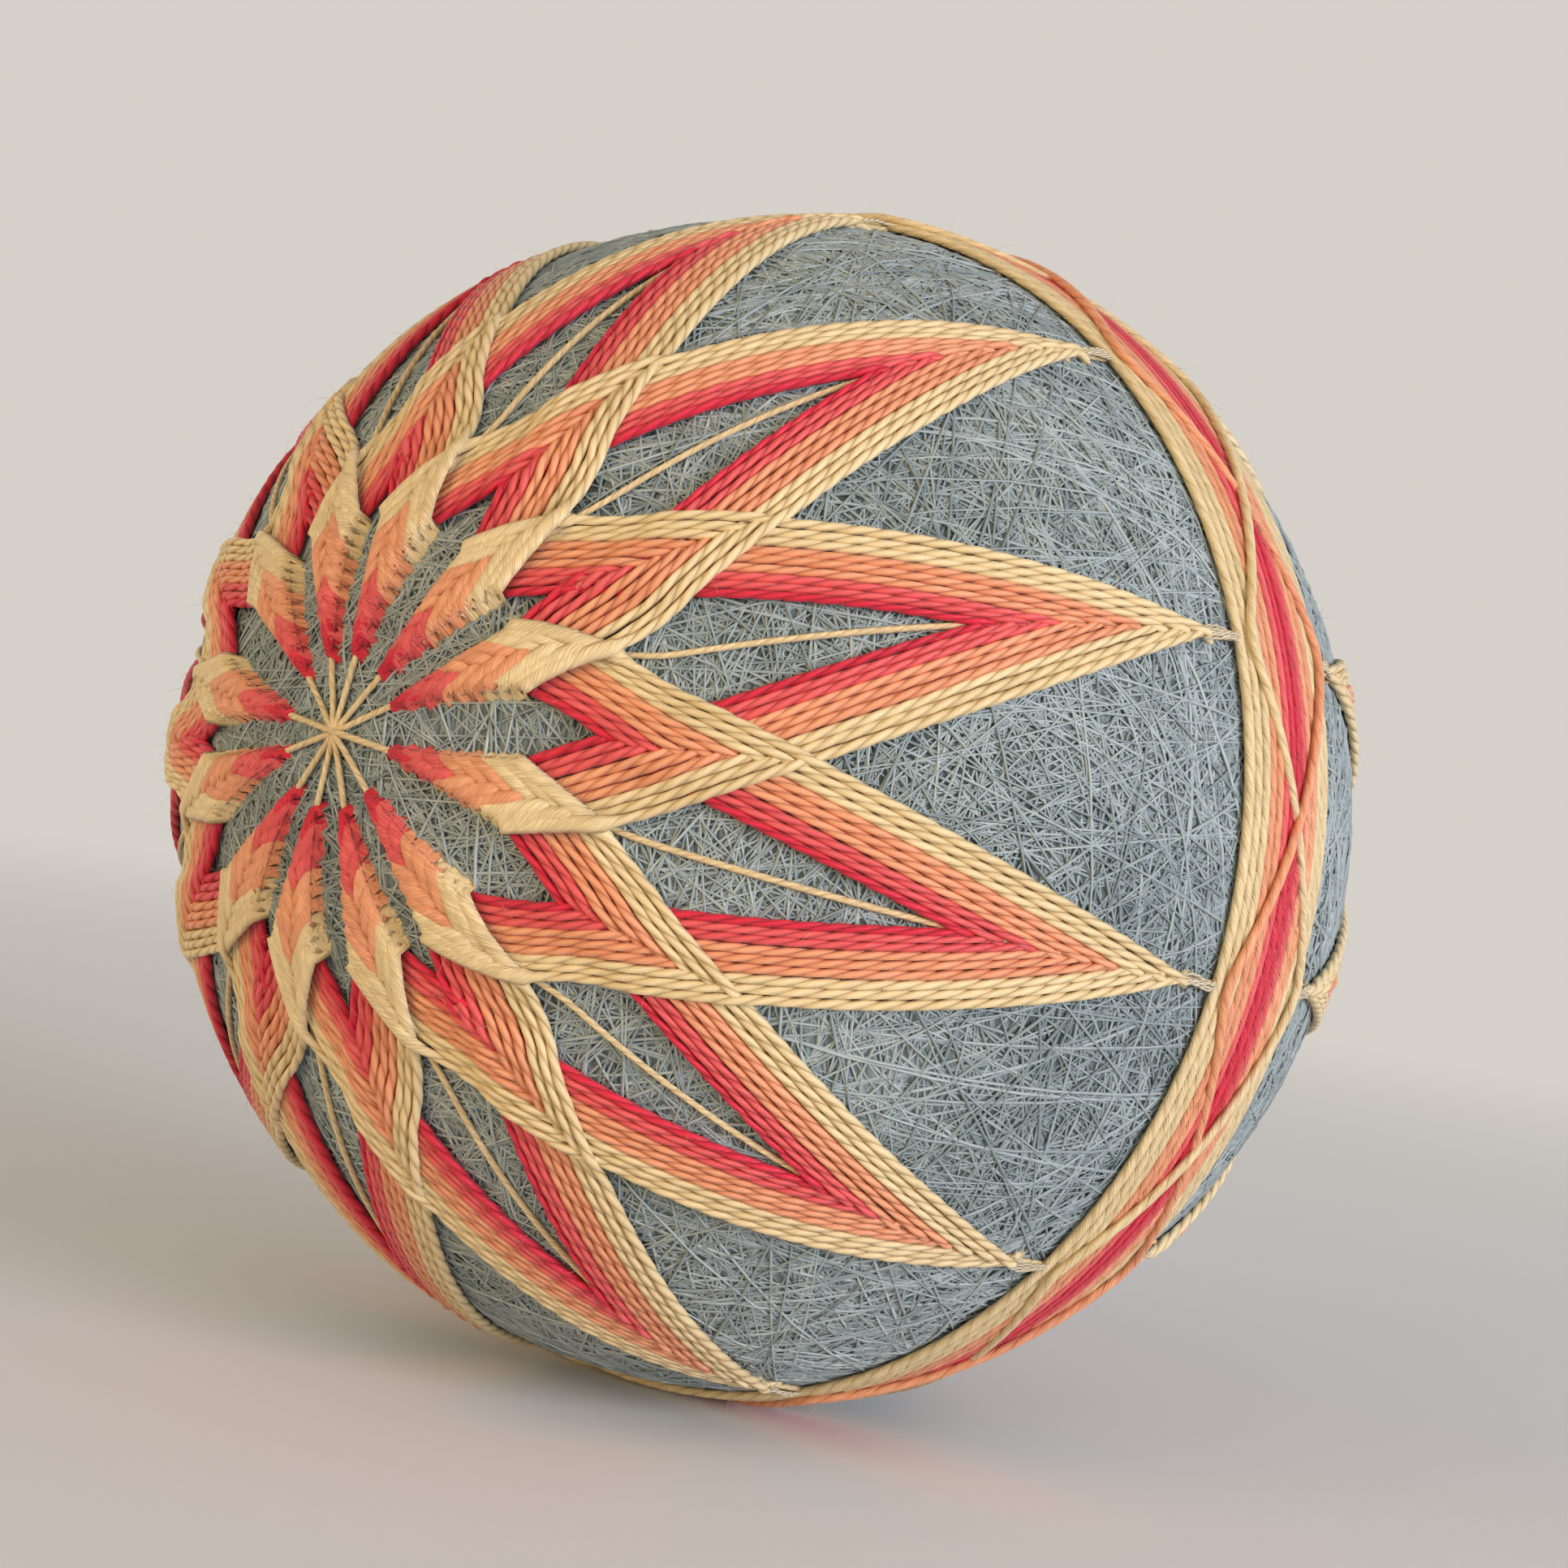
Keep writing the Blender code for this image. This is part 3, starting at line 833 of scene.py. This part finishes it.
def zigzagThread(side):
    # polar angle 90 + reach*triangle wave with one turn on each dividing line, rounded at its corners,
    # and radius - over*sin(pi*line), so that each thread lies on top at every other crossing
    line = np.arange(belt["steps"]) * ball["lines"] / belt["steps"]
    wave = side * (2 * np.abs((line % 2) - 1) - 1)
    ring = np.concatenate([wave, wave, wave])
    wave = smoothed(ring, 6)[belt["steps"]: 2 * belt["steps"]]
    directions = sphereDirection(90 + belt["zigzagReach"] * wave, ball["firstLine"] + line * lineStep)[None]
    radius = belt["zigzagRadius"] - belt["zigzagOver"] * side * np.sin(np.pi * line)
    radius = pressedRadius(directions, radius, belt["high"])
    return tubes(directions * radius[..., None], belt["zigzagHalf"], belt["high"], 6, flower["lead"],
                 rng.uniform(0, 1, 1), belt["lobe"], rng.uniform(0.4, 1, 1), closed=True, ply=belt["ply"])


for colour in ("red", "coral", "orange", "cream"):
    parts = [beltTurns(colour)]
    if colour == "cream":
        parts.append(zigzagThread(-1))
    if colour == "orange":
        parts.append(zigzagThread(1))
    stitched += [part["points"] for part in parts]
    total += dress(pieceFromTubes("belt" + colour.capitalize(), parts, colours[colour]), "belt")


# short pale stitches that tie each outer point down to the belt

ties = {
    "from": 78.2,
    "to": 83.5,
    "spread": (-0.4, -0.24, -0.08, 0.06, 0.2, 0.38),
    "vary": 0.06,
    "wave": 0.12,
    "closeUp": 0.55,
    "half": 0.1 * mm,
    "level": 44.66 * mm,
    "levelVary": 0.04,
    "arch": 0.2 * mm,
    "lead": 1.4 * mm,
    "steps": 14,
}


def tieStitches(front):
    # strands along each dividing line that close up towards the belt, arched by arch*sin(pi*share)
    share = np.linspace(0, 1, ties["steps"])
    polar = ties["from"] + (ties["to"] - ties["from"]) * share
    line = np.repeat(np.arange(ball["lines"]), len(ties["spread"]))
    aside = np.tile(ties["spread"], ball["lines"]) + rng.normal(0, ties["vary"], len(line))
    wave = rng.normal(0, ties["wave"], (len(line), 1)) * np.sin(share * 2 * math.pi)
    aside = (aside[:, None] * (1 - ties["closeUp"] * share) + wave) * mm / ball["radius"]
    paths = sphereDirection(polar, ball["firstLine"] + lineStep * line[:, None] + np.degrees(aside))
    level = ties["level"] + ties["arch"] * np.sin(math.pi * share)
    level = level + rng.normal(0, ties["levelVary"], (len(line), 1)) * mm
    paths = paths * level[..., None] * np.array([1, 1 if front else -1, 1])
    return tubes(paths, ties["half"], ties["half"], 6, ties["lead"], rng.uniform(0, 1, len(line)),
                 division["lobe"], rng.uniform(0, 1, len(line)))


tieThread = threadMaterial("threadTie", {**cotton, "colour": (242, 230, 200), "grooveShadeAndDarkTone": (200, 178, 134)})
for front, node, slot in ((True, "flower_front", "front_thread"), (False, "flower_back", "back_thread")):
    parts = [tieStitches(front)]
    stitched.append(parts[0]["points"])
    total += dress(pieceFromTubes("frontTies" if front else "backTies", parts, tieThread), node)


# loose fibres that stand out of the thread

fuzz = {
    "length": (0.4, 1.9),
    "half": 0.011 * mm,
    "taper": 0.7,
    "outward": (0.1, 0.75),
    "bend": 0.35,
    "stitchHairs": 1900,
    "stitchRadius": 44.85 * mm,
    "windingHairs": 300,
    "windingRadius": 44.2 * mm,
}


def hairs(roots, count, pick):
    # root + reach*(share*start + share^2*bend), thinner towards the tip
    roots = roots[pick.integers(0, len(roots), count)]
    outward = unit(roots)
    aside = unit(np.cross(outward, unit(pick.normal(size=(count, 3)))))
    lift = pick.uniform(*fuzz["outward"], (count, 1))
    start = unit(aside * (1 - lift) + outward * lift)[:, None]
    bend = pick.normal(0, fuzz["bend"], (count, 1, 3))
    reach = pick.uniform(*fuzz["length"], (count, 1, 1)) * mm
    share = np.linspace(0, 1, 4)[None, :, None]
    paths = roots[:, None] + reach * (share * start + share**2 * bend)
    half = fuzz["half"] * (1 - fuzz["taper"] * share[..., 0])
    return tubes(paths, half, half, 3, 5 * mm, np.zeros(count), 0.0, pick.uniform(0, 1, count))


def outerPoints(clouds, radius):
    # the points that lie further out than a radius
    cloud = np.concatenate(clouds)
    return cloud[np.linalg.norm(cloud, axis=1) > radius]


pick = np.random.default_rng(11)
palest = plainThread("fibrePale", (244, 222, 190))
greyest = plainThread("fibreGrey", (190, 202, 208))
loose = hairs(outerPoints(stitched, fuzz["stitchRadius"]), fuzz["stitchHairs"], pick)
total += dress(pieceFromTubes("looseFibres", [loose], palest), "belt")
loose = hairs(outerPoints(wound, fuzz["windingRadius"]), fuzz["windingHairs"], pick)
total += dress(pieceFromTubes("windingFibres", [loose], greyest), "core_ball")
print(f"all pieces: {total} triangles")


# floor, light and camera

view = {
    "right": (0.7742, 0.6120, 0.1613),
    "up": (-0.1265, -0.1000, 0.9869),
    "back": (0.6201, -0.7845, 0.0),
    "distance": 0.207,
    "lens": 61.5,
    "shift": (0.0114, 0.01346),
}
right, up, back = (Vector(view[name]).normalized() for name in ("right", "up", "back"))
stage = {
    "near": 0.12,
    "far": 0.7,
    "glow": 0.67,
    "glowColour": (1.0, 0.945, 0.87, 1),
    "base": (0.8, 0.82, 0.85, 1),
    "flat": (0.3, 0.7, 1.0),        # rings on the flat part
    "bend": 0.5,
    "wall": 2.2,
    "segments": 72,
}
lights = {        # offset along the camera's right, back and up
    "keyLight": {"offset": (0.76, 0.64, 0.02), "size": 0.55, "power": 8.9, "colour": (0.86, 0.87, 1.0)},
    "fillLight": {"offset": (-0.62, 0.62, 0.24), "size": 0.7, "power": 3.6, "colour": (1.0, 0.62, 0.15)},
}
studio = {"colour": (1.0, 0.86, 0.68, 1), "strength": 0.12}


def floorMaterial():
    # a matt floor near the ball that turns into a plain glowing backdrop further out
    material = bpy.data.materials.new("paleFloor")
    material.use_nodes = True
    tree = material.node_tree
    shader = tree.nodes["Principled BSDF"]
    shader.inputs["Base Color"].default_value = stage["base"]
    shader.inputs["Roughness"].default_value = 0.9
    shader.inputs["Specular IOR Level"].default_value = 0.1
    glow = tree.nodes.new("ShaderNodeEmission")
    glow.inputs["Color"].default_value = stage["glowColour"]
    glow.inputs["Strength"].default_value = stage["glow"]
    place = tree.nodes.new("ShaderNodeTexCoord")
    far = tree.nodes.new("ShaderNodeVectorMath")
    far.operation = "LENGTH"
    tree.links.new(place.outputs["Object"], far.inputs[0])
    ramp = tree.nodes.new("ShaderNodeMapRange")
    ramp.interpolation_type = "SMOOTHSTEP"
    ramp.inputs["From Min"].default_value = stage["near"]
    ramp.inputs["From Max"].default_value = stage["far"]
    tree.links.new(far.outputs["Value"], ramp.inputs["Value"])
    blend = tree.nodes.new("ShaderNodeMixShader")
    tree.links.new(ramp.outputs["Result"], blend.inputs[0])
    tree.links.new(shader.outputs[0], blend.inputs[1])
    tree.links.new(glow.outputs[0], blend.inputs[2])
    tree.links.new(blend.outputs[0], tree.nodes["Material Output"].inputs["Surface"])
    return material


def makeFloor():
    # a round floor that sweeps up into a wall: flat + bend*sin(a) out and bend - bend*cos(a) up
    edge, bend, segments = stage["flat"][-1], stage["bend"], stage["segments"]
    sweep = np.linspace(0.15, math.pi / 2, 10)
    angle = np.arange(segments) * 2 * math.pi / segments
    out = np.concatenate([stage["flat"], edge + bend * np.sin(sweep), [edge + bend]])[:, None]
    height = np.concatenate([0 * np.array(stage["flat"]), bend - bend * np.cos(sweep), [stage["wall"]]])[:, None]
    points = np.stack([out * np.cos(angle), out * np.sin(angle), height + 0 * angle], -1).reshape(-1, 3)
    points = np.concatenate([points, [[0, 0, 0]]])
    grid = np.arange(len(points) - 1).reshape(-1, segments)
    after = np.roll(grid, -1, axis=1)
    quads = np.stack([grid[:-1], grid[1:], after[1:], after[:-1]], -1).reshape(-1, 4).tolist()
    fan = np.stack([np.full(segments, len(points) - 1), grid[0], after[0]], -1).tolist()
    mesh = bpy.data.meshes.new("floor")
    mesh.from_pydata(points.tolist(), [], quads + fan)
    mesh.update()
    mesh.shade_smooth()
    floor = bpy.data.objects.new("floor", mesh)
    bpy.context.scene.collection.objects.link(floor)
    floor.data.materials.append(floorMaterial())
    return floor


def addLight(name, look):
    # a round area light at an offset from the ball, turned to face it
    data = bpy.data.lights.new(name, "AREA")
    data.shape = "DISK"
    data.size = look["size"]
    data.energy = look["power"]
    data.color = look["colour"]
    offset = right * look["offset"][0] + back * look["offset"][1] + up * look["offset"][2]
    light = bpy.data.objects.new(name, data)
    light.location = Vector(ball["centre"]) + offset
    light.rotation_euler = (-offset).to_track_quat("-Z", "Y").to_euler()
    bpy.context.scene.collection.objects.link(light)


makeFloor()
for name, look in lights.items():
    addLight(name, look)

world = bpy.data.worlds.new("studio")
world.use_nodes = True
world.node_tree.nodes["Background"].inputs["Color"].default_value = studio["colour"]
world.node_tree.nodes["Background"].inputs["Strength"].default_value = studio["strength"]
bpy.context.scene.world = world
bpy.context.scene.view_settings.view_transform = "Standard"

cameraData = bpy.data.cameras.new("camera")
cameraData.sensor_width = 36
cameraData.lens = view["lens"]
cameraData.shift_x, cameraData.shift_y = view["shift"]
cameraData.clip_start = 0.01
camera = bpy.data.objects.new("camera", cameraData)
camera.matrix_world = Matrix.Translation(Vector(ball["centre"]) + back * view["distance"]) @ Matrix(
    (right, up, back)).transposed().to_4x4()
bpy.context.scene.collection.objects.link(camera)
bpy.context.scene.camera = camera
